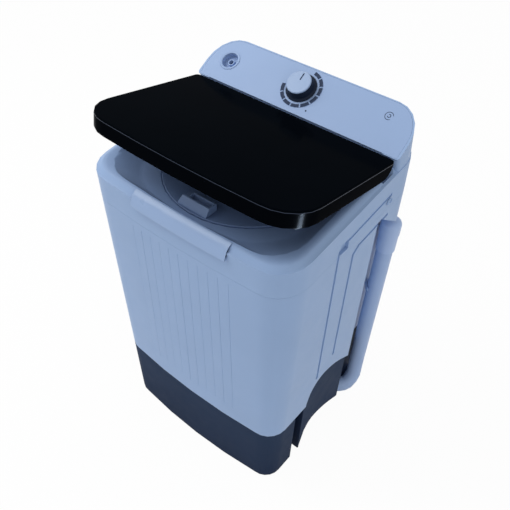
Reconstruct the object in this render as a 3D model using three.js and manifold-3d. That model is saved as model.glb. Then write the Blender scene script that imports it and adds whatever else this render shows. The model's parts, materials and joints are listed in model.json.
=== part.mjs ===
// A laundry spin dryer. Millimetres, +Z up, front towards -Y. The origin is on the floor,
// below the middle of the box that holds the whole machine.
import * as THREE from 'three';
import { mergeVertices } from 'three/addons/utils/BufferGeometryUtils.js';
import Module from 'manifold-3d';

const wasm = await Module();
wasm.setup();

// ---- Driving dimensions ------------------------------------------------------------------

const FIT = 0.3;                 // gap left between pieces that rest on or in each other
const WALL = 3.5;                // moulded shell wall

// The plan of the machine at the rim and at the floor. The body tapers evenly between them.
const RIM = { half: 215, front: -174, rear: 189, bow: 4.5, frontR: 58, leftR: 50, rearR: 52 };
const SOLE = { half: 188, front: -168.5, rear: 177, bow: 9.5, frontR: 34, leftR: 34, rearR: 34 };
const RIM_Z = 592;               // shoulder of the rim at the front, where the lid comes down
const RIM_SLOPE = 0.108;         // rise of the rim towards the console
const SPLIT_Z = 541;             // lower edge of the top frame at the front
const SPLIT_SLOPE = 0.065;
const SEAM_Z = 152;              // joint of the cabinet and the base
const FOOT = { lift: 2, r: 14, stemR: 5, stem: 12, seatR: 17 };

const SEAM_ARCH = { start: -64, crown: -14, end: 78, rise: 61, fall: 40 };
const FLOOR_ARCH = { start: -68, crown: -29, end: 60, far: 92, rise: 76, fall: 31 };
const FRONT_SLOT = { from: -97, to: -71, depth: 22 };

// The well's plan at its crest and at its floor.
const WELL = {
  floorZ: 590,
  crest: { half: 191, front: -158, frontR: 60 },
  floor: { half: 160, front: -148, frontR: 100 },
  rearR: 24,
};
const MOUTH = { y: -18, r: 98 };
const COVER = { y: 5, r: 149, rear: 90, thick: 3, seat: 1.6, proud: 2.5, gap: 1.6 };
const COVER_PIVOT = { y: 95, z: 592, pinR: 2.5, lugR: 5.5, earR: 4.5, lugs: [58, 80], brackets: [82, 90] };
const LATCH = { half: 30, front: -140, rear: -114, height: 12 };

// How far pieces stand inside the rim's widest half.
const INSET = { console: 3, lid: 0.4, lidRear: 4.5, earOuter: 15, earInner: 23, rib: 13 };

const CONSOLE = {
  front: 106.6,
  frontZ: 648.7,
  tilt: 30.2,
  half: RIM.half - INSET.console,
  rear: 187,
  undercut: 4,
};
const FASCIA = { margin: 3, low: 2, high: 91, thick: 3, cornerX: 50, cornerUp: 58 };
const DIAL = { x: -8, up: 50, r: 38, width: 6, height: 0.8, marks: 9, first: -176, sweep: 258, gap: 4 };
const KNOB = { baseR: 28, faceR: 21.6, height: 19.5, capThick: 3 };
const INLET = { x: -168, up: 47, r: 18.5, depth: 12, nozzleR: 6.5 };
const TIMER = { width: 52, height: 34, depth: 25, shaftR: 3 };

const LID = {
  half: RIM.half - INSET.lid,
  rearHalf: RIM.half - INSET.lidRear,
  length: 275,
  cornerR: 62,
  rearR: 8,
  bow: 4.6,
  height: 28.4,
  wall: 3,
  lip: 10,
};
const LID_TOP = { panel: 3, trim: 0.9, sheet: 2.5, trimWidth: 5 };
const PIVOT = { back: 14, down: 14, pinR: 3, earR: 6.5 };
const EAR = { inner: RIM.half - INSET.earInner, outer: RIM.half - INSET.earOuter };
const REST_ANGLE = 12.1;         // the lid's tilt in the rest pose, above level

const TUB = { r: 141, wall: 2.5, bottom: 252, flange: 9, mouthR: 38, spigotR: 11.3 };
const BASKET = { r: 122, wall: 1.5, bottom: 286, top: 562, lipR: 96, holeR: 3.2, rows: 3, columns: 8 };
const SHAFT = { r: 6, low: 207, top: 320 };
const BEARING = { r: 16, height: 10 };
const BRAKE = { r: 46, rim: 4, low: 200, high: 220 };
const MOTOR = { r: 63, low: 100, high: 178, flangeR: 69 };
const CARRIER = { r: 78, thick: 3, z: 146, padR: 19 };
const SPRING = { wireR: 1.8, coilR: 13, turns: 3, radius: 84 };
const DECK = { z: 84, thick: 5 };
const POST = { x: 74, r: 4, top: 222 };

const HOSE = { r: 16, bore: 12.5, side: 15.5, back: 19.5, top: 466 };
const HOSE_END = { r: 19.3, collarR: 18.2, low: 406, step: 446, top: 478 };
const CHANNEL = { front: 75, baseFront: 62, depth: 37, top: 543, fallTo: 150, fall: 50 };
const OUTLET = { x: 82.7, y: 66.2 };      // the tub's drain spigot
const DECK_HOLE = { x: 102, y: 86, r: 22 };

// ---- Small tools ---------------------------------------------------------------------------

const DEG = Math.PI / 180;
const CORNER_STEPS = 5;
const BOW_STEPS = 4;
const ROUND = 28;

// The sizes above place the lid's seat; the whole machine's middle lies this far behind it.
const MIDDLE_Y = 2.16;

const group = new THREE.Group();

const paint = (color, roughness, metalness = 0) => {
  return new THREE.MeshStandardMaterial({ color, roughness, metalness });
};
const PAINT = {
  shell: paint(0x8fa3c2, 0.45),
  base: paint(0x33404f, 0.5),
  gloss: paint(0x05070b, 0.12),
  lid: paint(0x0c0f15, 0.25),
  silver: paint(0xaab0bc, 0.3, 0.8),
  bright: paint(0x9db5d6, 0.45),
  fascia: paint(0x9cb4d8, 0.4),
  dark: paint(0x1d2634, 0.4),
  inner: paint(0x4a5b76, 0.4),
  tub: paint(0xaebccb, 0.5),
  steel: paint(0xc3c8cd, 0.3, 0.9),
  castMetal: paint(0x70757c, 0.55, 0.6),
  rubber: paint(0x17191c, 0.85),
  hose: paint(0x8499b8, 0.5),
};

// A closed geometry as a solid, turned face out, with shared vertices.
function solid(geometry) {
  const bare = geometry.clone();
  bare.deleteAttribute('normal');
  bare.deleteAttribute('uv');
  const merged = mergeVertices(bare, 1e-4);
  const index = merged.index.array;
  const kept = [];
  for (let i = 0; i < index.length; i += 3) {
    const [a, b, c] = [index[i], index[i + 1], index[i + 2]];
    if (a !== b && b !== c && c !== a) kept.push(a, b, c);
  }
  const position = merged.attributes.position;
  const corners = [0, 1, 2].map(() => new THREE.Vector3());
  let volume = 0;
  for (let i = 0; i < kept.length; i += 3) {
    corners.forEach((corner, k) => corner.fromBufferAttribute(position, kept[i + k]));
    volume += corners[0].dot(corners[1].clone().cross(corners[2]));
  }
  if (volume < 0) kept.reverse();
  const vertProperties = new Float32Array(position.array);
  return new wasm.Manifold(new wasm.Mesh({ numProp: 3, vertProperties, triVerts: new Uint32Array(kept) }));
}

// Puts a solid in the model as a named mesh.
function piece(name, shape, material) {
  const { vertProperties, triVerts } = shape.getMesh();
  const geometry = new THREE.BufferGeometry();
  geometry.setAttribute('position', new THREE.BufferAttribute(new Float32Array(vertProperties), 3));
  geometry.setIndex(new THREE.BufferAttribute(new Uint32Array(triVerts), 1));
  geometry.computeVertexNormals();
  const mesh = new THREE.Mesh(geometry, material);
  mesh.name = name;
  geometry.translate(0, -MIDDLE_Y, 0);
  group.add(mesh);
}

const joined = (...shapes) => shapes.reduce((all, next) => all.add(next));
const placed = (shape, matrix) => shape.transform(matrix.elements);

function box(x0, x1, y0, y1, z0, z1) {
  const geometry = new THREE.BoxGeometry(x1 - x0, y1 - y0, z1 - z0);
  geometry.translate((x0 + x1) / 2, (y0 + y1) / 2, (z0 + z1) / 2);
  return solid(geometry);
}

// A round bar along +Z from z0 to z1, with its own radius at each end.
function rod(x, y, z0, z1, r0, r1 = r0, sides = ROUND) {
  const geometry = new THREE.CylinderGeometry(r1, r0, z1 - z0, sides);
  geometry.rotateX(90 * DEG);
  geometry.translate(x, y, (z0 + z1) / 2);
  return solid(geometry);
}

// A turned shape about the vertical line through (x, y), from [radius, z] pairs.
function turned(profile, x = 0, y = 0, sides = ROUND) {
  const geometry = new THREE.LatheGeometry(profile.map(([r, z]) => new THREE.Vector2(r, z)), sides);
  geometry.rotateX(90 * DEG);
  geometry.translate(x, y, 0);
  return solid(geometry);
}

// A ring: an outer round bar less its bore.
const tubeBar = (x, y, z0, z1, outer, bore, sides = ROUND) =>
  rod(x, y, z0, z1, outer, outer, sides).subtract(rod(x, y, z0 - 1, z1 + 1, bore, bore, sides));

// The triangles that close a flat ring, turning the way its points do.
function capFaces(ring) {
  const normal = new THREE.Vector3();
  ring.forEach((p, i) => normal.add(p.clone().cross(ring[(i + 1) % ring.length])));
  const turn = new THREE.Quaternion().setFromUnitVectors(normal.normalize(), new THREE.Vector3(0, 0, 1));
  const flat = ring.map((p) => p.clone().applyQuaternion(turn)).map(({ x, y }) => new THREE.Vector2(x, y));
  return THREE.ShapeUtils.triangulateShape(flat, []);
}

// A closed solid through rings of equally many points, listed from the lowest up.
function loft(rings) {
  const count = rings[0].length;
  const faces = [];
  const last = (rings.length - 1) * count;
  for (let i = 0; i < count; i += 1) {
    const j = (i + 1) % count;
    for (let level = 0; level < last; level += count) {
      faces.push(level + i, level + j, level + count + j, level + i, level + count + j, level + count + i);
    }
  }
  capFaces(rings[0]).forEach(([a, b, c]) => faces.push(a, c, b));
  capFaces(rings.at(-1)).forEach(([a, b, c]) => faces.push(last + a, last + b, last + c));
  const positions = rings.flat().flatMap((p) => p.toArray());
  const geometry = new THREE.BufferGeometry();
  geometry.setAttribute('position', new THREE.Float32BufferAttribute(positions, 3));
  geometry.setIndex(faces);
  return solid(geometry);
}

// A plan outline, anticlockwise, with rounded corners and a front that bows out.
function outline(plan, height) {
  const { half, front, rear, frontR, leftR = frontR, rearR, bow } = plan;
  const ring = [];
  const corner = (x, y, r, start) => {
    for (let i = 0; i <= CORNER_STEPS; i += 1) {
      const turn = (start + (90 * i) / CORNER_STEPS) * DEG;
      ring.push([x + r * Math.cos(turn), y + r * Math.sin(turn)]);
    }
  };
  corner(half - rearR, rear - rearR, rearR, 0);
  corner(-half + rearR, rear - rearR, rearR, 90);
  corner(-half + leftR, front + leftR, leftR, 180);
  const [from, to] = [-half + leftR, half - frontR];
  for (let i = 1; i < BOW_STEPS; i += 1) {
    const share = i / BOW_STEPS;
    ring.push([from + (to - from) * share, front - bow * (1 - (2 * share - 1) ** 2)]);
  }
  corner(half - frontR, front + frontR, frontR, 270);
  return ring.map(([x, y]) => new THREE.Vector3(x, y, height(y)));
}

const level = (z) => () => z;
const rising = (z, slope) => (y) => z + slope * (y - RIM.front);

// The body's plan at a height, drawn in by an inset.
function bodyPlan(z, inset = 0) {
  const share = z / RIM_Z;
  const plan = {};
  for (const key of Object.keys(RIM)) plan[key] = SOLE[key] + (RIM[key] - SOLE[key]) * share;
  plan.half -= inset;
  plan.front += inset;
  plan.rear -= inset;
  for (const key of ['frontR', 'leftR', 'rearR']) plan[key] = Math.max(plan[key] - inset, 8);
  return plan;
}

// The body's outline at a height, rising towards the rear by a slope.
function bodyRing(z, inset = 0, slope = 0) {
  const height = rising(z, slope);
  const share = Math.min(z / RIM_Z, 1);
  const low = outline(bodyPlan(0, inset), level(0));
  const high = outline(bodyPlan(RIM_Z, inset), level(0));
  return low.map((p, i) => {
    const rise = height(p.y + (high[i].y - p.y) * share);
    const at = Math.min(rise / RIM_Z, 1);
    return new THREE.Vector3().lerpVectors(p, high[i], at).setZ(rise);
  });
}

const sideAt = (z) => SOLE.half + ((RIM.half - SOLE.half) * z) / RIM_Z;
const rearAt = (z) => SOLE.rear + ((RIM.rear - SOLE.rear) * z) / RIM_Z;
const SIDE_TAPER = (RIM.half - SOLE.half) / RIM_Z;

// A slab with a (y, z) outline, from `inner` to `outer` beyond the floor's half width,
// leaning with the side wall. side is 1 on the right and -1 on the left.
function sideSlab(points, inner, outer, side) {
  const shape = new THREE.Shape(points.map(([y, z]) => new THREE.Vector2(y, z)));
  const geometry = new THREE.ExtrudeGeometry(shape, { depth: outer - inner, bevelEnabled: false });
  const matrix = new THREE.Matrix4().set(
    0, SIDE_TAPER * side, side, (SOLE.half + inner) * side,
    1, 0, 0, 0,
    0, 1, 0, 0,
    0, 0, 0, 1);
  geometry.applyMatrix4(matrix);
  return solid(geometry);
}

// ---- Shapes shared by several pieces -------------------------------------------------------

// A round bar between two points, with its own radius at each end.
function bar(from, to, r0, r1 = r0, sides = 20) {
  const [a, b] = [from, to].map((p) => new THREE.Vector3(...p));
  const span = b.clone().sub(a);
  const geometry = new THREE.CylinderGeometry(r1, r0, span.length(), sides);
  geometry.translate(0, span.length() / 2, 0);
  geometry.applyQuaternion(new THREE.Quaternion().setFromUnitVectors(
    new THREE.Vector3(0, 1, 0), span.normalize()));
  geometry.translate(...from);
  return solid(geometry);
}

const crossBar = (x0, x1, y, z, r, sides = 14) => bar([x0, y, z], [x1, y, z], r, r, sides);
const both = (shape) => [shape(1), shape(-1)];

// A flat plate with an (x, y) outline.
function plate(points, z0, z1) {
  const shape = new THREE.Shape(points.map(([x, y]) => new THREE.Vector2(x, y)));
  const geometry = new THREE.ExtrudeGeometry(shape, { depth: z1 - z0, bevelEnabled: false });
  geometry.translate(0, 0, z0);
  return solid(geometry);
}

// A bar across the machine with a (y, z) outline.
function crossPrism(points, x0, x1) {
  const shape = new THREE.Shape(points.map(([y, z]) => new THREE.Vector2(y, z)));
  const geometry = new THREE.ExtrudeGeometry(shape, { depth: x1 - x0, bevelEnabled: false });
  geometry.applyMatrix4(new THREE.Matrix4().set(0, 0, 1, x0, 1, 0, 0, 0, 0, 1, 0, 0, 0, 0, 0, 1));
  return solid(geometry);
}

// Part of a ring in plan, from one angle to another in degrees.
function arcBlock(x, y, inner, outer, from, to, z0, z1, steps = 8) {
  const turnAt = (i) => (from + ((to - from) * i) / steps) * DEG;
  const edge = (r) => Array.from({ length: steps + 1 }, (_, i) =>
    [x + r * Math.cos(turnAt(i)), y + r * Math.sin(turnAt(i))]);
  return plate([...edge(outer), ...edge(inner).reverse()], z0, z1);
}

// ---- Cabinet and base ------------------------------------------------------------------------

const REAR_DOOR = { half: 120, low: 190, high: 430, lap: 12, thick: 2.5 };
const TAB = { half: 16, reach: 9, hang: 18, stand: 8 };

// Where the tabs of the top frame and of the base stand behind the walls.
const FRAME_TABS = [-110, 110];
const BASE_TABS = { front: [-110, 0, 110], rear: [-140, -40, 60] };

// Height of the arched side seam at y, between the slots.
function seamHeight(y) {
  const { start, crown, end, rise, fall } = SEAM_ARCH;
  if (y <= start || y > end) return SEAM_Z;
  if (y < crown) return SEAM_Z + rise * Math.sqrt(1 - ((crown - y) / (crown - start)) ** 2);
  return SEAM_Z + rise - fall * (1 - Math.cos(((y - crown) / (end - crown)) * 90 * DEG));
}

// Height of the open arch under the side of the base at y.
function floorArchHeight(y) {
  const { start, crown, end, far, rise, fall } = FLOOR_ARCH;
  if (y < crown) return rise * Math.sqrt(Math.max(0, 1 - ((crown - y) / (crown - start)) ** 2));
  if (y < end) return rise - fall * (1 - Math.cos(((y - crown) / (end - crown)) * 90 * DEG));
  return (rise - fall) * Math.sqrt(Math.max(0, 1 - ((y - end) / (far - end)) ** 2));
}

function curvePoints(from, to, steps, height) {
  return Array.from({ length: steps + 1 }, (_, i) => {
    const y = from + ((to - from) * i) / steps;
    return [y, height(y)];
  });
}

// The region below the seam, as one bar across the machine.
function belowSeam(gap) {
  const reach = 260;
  const { start, crown, end } = SEAM_ARCH;
  const crest = [
    [start, SEAM_Z],
    ...curvePoints(start + 0.4, crown, 6, seamHeight),
    ...curvePoints(crown + 12, end, 6, seamHeight),
    [end + 0.1, SEAM_Z],
  ];
  const points = [[-reach, SEAM_Z], ...crest, [reach, SEAM_Z]].map(([y, z]) => [y, z + gap]);
  return crossPrism([[-reach, -reach], ...points, [reach, -reach]], -reach, reach);
}

// The corner channel in which the hose stands, grown by a wall where asked.
function channel(front, top, grow = 0) {
  const outer = 60;
  const floor = -20;
  const rear = RIM.rear + outer;
  const edge = front - grow;
  const high = top + grow;
  const { depth, fall, fallTo } = CHANNEL;
  return sideSlab(
    [[edge, floor], [rear, floor], [rear, high - fall], [fallTo, high - fall], [edge + 10, high],
      [edge, high - 10]],
    -depth - grow, outer, 1);
}

const PANEL = {
  groove: 2.4,
  grooveWidth: 6.5,
  outer: { front: -44, low: 222, left: 571, rear: 588 },
  inner: { front: 3, low: 250, left: 535, rear: 545 },
  notch: { front: -37, rear: -15, low: 551, high: 572, deep: 5.5 },
};

// The two grooves on a side wall, one inside the other, and the finger notch at the front one's top.
function sideGrooves(side) {
  const end = side > 0 ? CHANNEL.front + 30 : 100;
  const out = 30;
  const step = ({ front, low, left, rear }, depth) => sideSlab(
    [[front, low], [end, low], [end, rear], [front + 14, left], [front, left - 12]], -depth, out, side);
  const { outer, inner, notch, groove, grooveWidth: width } = PANEL;
  const drawnIn = ({ front, low, left, rear }) => ({
    front: front + width, low: low - 5, left: left - width, rear: rear - width });
  const line = (area) => step(area, groove).subtract(step(drawnIn(area), groove + 1));
  const corners = [[notch.front, notch.low], [notch.rear, notch.low], [notch.rear, notch.high]];
  const pocket = sideSlab([...corners, [notch.front, notch.high]], -notch.deep, out, side);
  return joined(line(outer), line(inner), pocket);
}

// A thicker wall behind the grooves and the notch.
function sidePad(side) {
  const rear = side > 0 ? CHANNEL.front + 60 : 106;
  return sideSlab([[-50, 100], [rear, 100], [rear, 600], [-50, 600]], -PANEL.notch.deep - WALL, 20, side);
}

const FLUTE = { count: 11, first: -105, pitch: 21, width: 2.6, depth: 0.9, low: 190, high: 528 };

// Y of the bowed front at a height and a distance from the middle.
function frontAt(x, z) {
  const plan = bodyPlan(z);
  const [from, to] = [-plan.half + plan.leftR, plan.half - plan.frontR];
  const spread = (2 * x - from - to) / (to - from);
  return plan.front - plan.bow * (1 - spread ** 2);
}

// Shallow upright flutes on the front.
function frontFlutes() {
  const cutters = Array.from({ length: FLUTE.count }, (_, i) => {
    const x = FLUTE.first + i * FLUTE.pitch;
    const ring = (z) => {
      const y = frontAt(x, z);
      const half = FLUTE.width / 2;
      return [[x - half, y - 3], [x, y + FLUTE.depth], [x + half, y - 3]].map(
        ([a, b]) => new THREE.Vector3(a, b, z));
    };
    return loft([ring(FLUTE.low), ring(FLUTE.high)]);
  });
  return joined(...cutters);
}

function cabinet() {
  const low = 120;
  const top = (inset, lift) => bodyRing(SPLIT_Z + lift, inset, SPLIT_SLOPE);
  const outer = loft([bodyRing(low), bodyRing(330), top(0, -FIT)]);
  const hollow = loft([bodyRing(low - 5, WALL), bodyRing(330, WALL), top(WALL, 20)])
    .subtract(channel(CHANNEL.front, CHANNEL.top, WALL))
    .subtract(joined(...both(sidePad)));
  const window = box(-REAR_DOOR.half, REAR_DOOR.half, 150, 230, REAR_DOOR.low, REAR_DOOR.high);
  return outer
    .subtract(hollow)
    .subtract(channel(CHANNEL.front, CHANNEL.top))
    .subtract(belowSeam(FIT))
    .subtract(joined(...both(sideGrooves)))
    .subtract(frontFlutes())
    .subtract(window)
    .subtract(bar([GLAND.x, 150, GLAND.z], [GLAND.x, 220, GLAND.z], GLAND.bodyR + FIT));
}

// The rear service cover lies against the back wall, over the window.
function rearCover() {
  const { half, low, high, lap, thick } = REAR_DOOR;
  const ring = (z) => {
    const [near, far] = [rearAt(z) + FIT, rearAt(z) + FIT + thick];
    return [[-half - lap, near], [half + lap, near], [half + lap, far], [-half - lap, far]].map(
      ([x, y]) => new THREE.Vector3(x, y, z));
  };
  const louvres = Array.from({ length: 6 }, (_, i) => low + 40 + i * 14);
  return loft([ring(low - lap), ring(high + lap)])
    .subtract(joined(...louvres.map((z) => box(-half + 40, half - 40, 170, 220, z, z + 5))));
}

// Tabs that stand inside the front and rear walls, across a joint, from z0 to z1.
function tabs(centres, inset, rear, z0, z1) {
  const [y0, y1] = rear ? [rearAt(z0) - TAB.reach, 260] : [-260, frontAt(0, z0) + TAB.reach];
  const blocks = centres.map((x) => box(x - TAB.half, x + TAB.half, y0, y1, z0, z1));
  return loft([bodyRing(z0 - 5, inset), bodyRing(z1 + 5, inset)]).intersect(joined(...blocks));
}

// The top frame's tabs hang inside the cabinet's walls.
function frameTabs() {
  const seam = (y) => SPLIT_Z + SPLIT_SLOPE * (y - RIM.front);
  const hang = (rear, z) => {
    return tabs(FRAME_TABS, WALL + FIT, rear, z - TAB.hang, z + TAB.stand)
      .add(tabs(FRAME_TABS, WALL - 0.5, rear, z + 2, z + TAB.stand));
  };
  return hang(false, seam(RIM.front)).add(hang(true, seam(RIM.rear)));
}

function base() {
  const wall = WALL + 1;
  const outer = loft([bodyRing(FOOT.lift), bodyRing(230)]);
  const inner = loft([bodyRing(-10, wall), bodyRing(240, wall)]);
  const deck = loft([bodyRing(DECK.z, 1), bodyRing(DECK.z + DECK.thick, 1)]);
  const ribEnd = SOLE.half - INSET.rib;
  const ribs = joined(
    box(-3, 3, -160, -70, DECK.z - 24, DECK.z + 1),
    box(-ribEnd, -60, -20, -14, DECK.z - 24, DECK.z + 1),
    box(60, ribEnd, -20, -14, DECK.z - 24, DECK.z + 1),
    box(-20, 60, 120, 126, DECK.z - 24, DECK.z + 1));
  const { start, far } = FLOOR_ARCH;
  const arch = [[start, -20], ...curvePoints(start + 0.3, far - 0.3, 14, floorArchHeight), [far, -20]];
  const { from, to, depth } = FRONT_SLOT;
  const slot = [[from, -20], [to, -20], [to, SEAM_Z + 80], [from, SEAM_Z + 80]];
  const cuts = both((side) => joined(
    sideSlab(arch, 1 - CHANNEL.depth, 30, side),
    sideSlab(slot, -depth, 30, side),
  ));
  const sills = both((side) => sideSlab(
    [[from - wall, FOOT.lift], [to + wall, FOOT.lift], [to + wall, SEAM_Z + 20],
      [from - wall, SEAM_Z + 20]],
    -depth - wall, 20, side));
  const seats = joined(...FOOT_PLACES.map(([x, y]) => rod(x, y, FOOT.lift, DECK.z + 1, FOOT.seatR, 15,
    12)));
  return outer
    .subtract(inner.subtract(channel(CHANNEL.baseFront, 260, WALL)).subtract(joined(...sills)))
    .add(deck)
    .add(ribs)
    .intersect(outer)
    .subtract(joined(...cuts))
    .intersect(belowSeam(0))
    .add(tabs(BASE_TABS.front, WALL + FIT, false, SEAM_Z - TAB.stand, SEAM_Z + TAB.hang))
    .add(tabs(BASE_TABS.rear, WALL + FIT, true, SEAM_Z - TAB.stand, SEAM_Z + TAB.hang))
    .add(seats)
    .subtract(channel(CHANNEL.baseFront, 260))
    .subtract(baseHoles());
}

// The holes in the base for the motor's air, the hose and the feet.
function baseHoles() {
  const stems = FOOT_PLACES.map(([x, y]) => rod(x, y, -5, FOOT.stem + 2, FOOT.stemR + FIT,
    FOOT.stemR + FIT, 12));
  return joined(
    ...stems,
    rod(0, MOUTH.y, DECK.z - 40, DECK.z + 20, 40),
    rod(DECK_HOLE.x, DECK_HOLE.y, DECK.z - 20, DECK.z + 20, DECK_HOLE.r),
    box(136, 166, 74, 121, -20, 46));
}

const FOOT_PLACES = [[-140, -130], [140, -130], [-135, 140], [118, 140]];

function foot([x, y]) {
  return turned([[0, 0], [FOOT.r - 1, 0], [FOOT.r, 0.8], [FOOT.r, FOOT.lift - FIT],
    [FOOT.stemR, FOOT.lift - FIT], [FOOT.stemR, FOOT.stem], [0, FOOT.stem]], x, y, 12);
}

function springPlaces() {
  return [90, 210, 330].map((turn) => [
    SPRING.radius * Math.cos(turn * DEG), MOUTH.y + SPRING.radius * Math.sin(turn * DEG)]);
}

// ---- Top frame: rim, well and console housing -------------------------------------------------

// A level or sloping ring of the well, part of the way from its floor (0) to its crest (1).
function wellRing(share, z, grow, slope) {
  const mix = (key) => WELL.floor[key] + (WELL.crest[key] - WELL.floor[key]) * share;
  const plan = {
    half: mix('half') + grow,
    front: mix('front') - grow,
    rear: CONSOLE.front + CONSOLE.undercut + grow,
    frontR: mix('frontR') + grow,
    rearR: WELL.rearR + grow,
    bow: RIM.bow,
  };
  return outline(plan, slope ? rising(z, slope) : level(z));
}

// The well's side, as [share of the way out, height above the floor, share of the rim's slope].
const WELL_PROFILE = [[0, 0, 0], [0.2, 1, 0.15], [0.5, 3.5, 0.45], [0.85, 8, 0.9], [1, 11, 1],
  [1.2, 13, 1]];

// The dished well; grow widens it by a wall, for the shell below it.
function well(grow) {
  const profile = grow ? WELL_PROFILE.filter((_, i) => i % 2 === 0) : WELL_PROFILE;
  const rings = profile.map(([share, up, steep]) =>
    wellRing(share, WELL.floorZ + up - grow, grow, steep * RIM_SLOPE));
  return loft([...rings, wellRing(1.3, RIM_Z + 90, grow, RIM_SLOPE)]);
}

// The frame of the console's face: x across, y up the slope, z out of the face.
function facePlace(x, up, out = 0) {
  const turn = new THREE.Matrix4().makeRotationX(CONSOLE.tilt * DEG);
  const move = new THREE.Matrix4().makeTranslation(0, CONSOLE.front, CONSOLE.frontZ);
  return move.multiply(turn).multiply(new THREE.Matrix4().makeTranslation(x, up, out));
}

// Everything above the console's sloped face, set in by a depth.
function aboveFace(depth) {
  const reach = 400;
  const slab = new THREE.BoxGeometry(2 * reach, 2 * reach, reach);
  slab.translate(0, 0, reach / 2 - depth);
  slab.applyMatrix4(facePlace(0, 0));
  return solid(slab);
}

function consoleBlock(inset) {
  const { front, frontZ, half, rear, undercut } = CONSOLE;
  const low = RIM_Z + 8 - 4 * inset;
  const high = frontZ + 60;
  const ring = (z, back) => {
    const share = (z - low) / (high - low);
    const plan = {
      half: RIM.half - 0.5 + (half - RIM.half + 0.5) * share - inset,
      front: front + inset + back,
      rear: RIM.rear - 0.3 + (rear - RIM.rear + 0.3) * share - inset,
      frontR: 7,
      rearR: RIM.rearR - inset,
      bow: 0,
    };
    return outline(plan, level(z));
  };
  return loft([ring(low, undercut), ring(frontZ - undercut, undercut), ring(frontZ + 1, 0), ring(high, 0)])
    .subtract(aboveFace(inset ? inset + FASCIA.thick + FIT : 0));
}

// The rim's roll over its crest, as [distance in, height above the shoulder].
const RIM_ROLL = [[0, 0], [4.5, 1.5], [8.5, 6.2], [13, 9], [20, 9.6], [30, 9]];

// The frame's outer form; the inset gives the hollow inside it.
function topForm(inset) {
  const under = inset ? 12 : 0;
  const steps = inset ? RIM_ROLL.filter((_, i) => i % 2 === 0) : RIM_ROLL;
  const roll = steps.map(([back, up]) => bodyRing(RIM_Z + up - inset, inset + back, RIM_SLOPE));
  const rim = loft([bodyRing(SPLIT_Z - under, inset, SPLIT_SLOPE), ...roll]);
  return rim.add(consoleBlock(inset));
}

// The lid's rear top edge and its pivot, in the rest pose.
const lidCorner = () => ({ y: CONSOLE.front - 1.2, z: CONSOLE.frontZ });
function pivot() {
  const [c, s] = [Math.cos(REST_ANGLE * DEG), Math.sin(REST_ANGLE * DEG)];
  const { y, z } = lidCorner();
  return { y: y - PIVOT.back * c - PIVOT.down * s, z: z + PIVOT.back * s - PIVOT.down * c };
}

function hingeEar(side) {
  const { y, z } = pivot();
  const [x0, x1] = [EAR.inner * side, EAR.outer * side].sort((a, b) => a - b);
  return box(x0, x1, y - PIVOT.earR, y + PIVOT.earR, WELL.floorZ + 18, z)
    .add(crossBar(x0, x1, y, z, PIVOT.earR));
}

// The brackets that hold the spin cover's pin.
function coverBracket(side) {
  const { y, z, earR, brackets } = COVER_PIVOT;
  const [x0, x1] = brackets.map((x) => x * side).sort((a, b) => a - b);
  return box(x0, x1, y - earR, y + earR, WELL.floorZ - 2, z).add(crossBar(x0, x1, y, z, earR));
}

// The hollow across the rim in which the lid's rear edge swings down.
const SCOOP = { half: 210, r: 21.3 };

function topFrame() {
  const { y, z } = pivot();
  const cover = COVER_PIVOT;
  const depth = FASCIA.thick + FIT;
  const scoop = (more) => crossBar(-SCOOP.half - more, SCOOP.half + more, y, z, SCOOP.r + more, 24);
  return topForm(0)
    .subtract(topForm(WALL).subtract(joined(well(WALL), scoop(WALL), ...both(sidePad))))
    .subtract(joined(...both(sideGrooves)))
    .subtract(well(0))
    .subtract(scoop(0))
    .add(tubeBar(0, MOUTH.y, WELL.floorZ - 16, WELL.floorZ - 1, MOUTH.r + 3, MOUTH.r, 28))
    .add(joined(...both(hingeEar)))
    .add(frameTabs())
    .subtract(rod(0, MOUTH.y, 500, WELL.floorZ + 5, MOUTH.r))
    .subtract(coverDisc(COVER.r + COVER.gap, WELL.floorZ - COVER.seat, WELL.floorZ + 12,
      COVER.rear + COVER.gap))
    .subtract(box(-cover.brackets[0], cover.brackets[0], COVER.rear - 2, cover.y + 8, cover.z - 6.5,
      cover.z + 20))
    .add(joined(...both(coverBracket)))
    .subtract(crossBar(-cover.brackets[1] + 3, cover.brackets[1] - 3, cover.y, cover.z,
      cover.pinR + FIT, 16))
    .subtract(crossBar(-230, 230, y, z, PIVOT.pinR + FIT))
    .subtract(fasciaPlate(-20, depth, 0))
    .subtract(faceHole(DIAL, 6, 12))
    .subtract(faceHole(INLET, INLET.r + FIT, 20))
    .subtract(box(SWITCH.x - 7, SWITCH.x + 7, CONSOLE.front, CONSOLE.front + 12, SWITCH.z - 8,
      SWITCH.z + 8));
}

// A round hole through the console's face.
const faceHole = ({ x, up }, r, sides) => placed(rod(0, 0, -30, 20, r, r, sides), facePlace(x, up));

// The console's plate: its top is `lift` above the face and its underside `depth` below it.
function fasciaPlate(lift, depth, gap) {
  const { margin, low, high, cornerX, cornerUp } = FASCIA;
  const half = CONSOLE.half - margin - gap;
  const [y0, y1, rx, ry] = [low + gap, high - gap, cornerX - gap, cornerUp - gap];
  const shape = new THREE.Shape();
  shape.moveTo(-half, y0);
  shape.lineTo(half, y0);
  shape.lineTo(half, y1 - ry);
  shape.absellipse(half - rx, y1 - ry, rx, ry, 0, Math.PI / 2, false);
  shape.lineTo(-half + rx, y1);
  shape.absellipse(-half + rx, y1 - ry, rx, ry, Math.PI / 2, Math.PI, false);
  shape.closePath();
  const geometry = new THREE.ExtrudeGeometry(shape,
    { depth: depth - lift, bevelEnabled: false, curveSegments: 7 });
  geometry.translate(0, 0, -depth);
  geometry.applyMatrix4(facePlace(0, 0));
  return solid(geometry);
}

const fascia = () => fasciaPlate(0, FASCIA.thick, FIT)
  .subtract(faceHole(DIAL, 6, 12))
  .subtract(faceHole(INLET, INLET.r - 1, 20));

// ---- Console pieces ---------------------------------------------------------------------------

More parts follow.
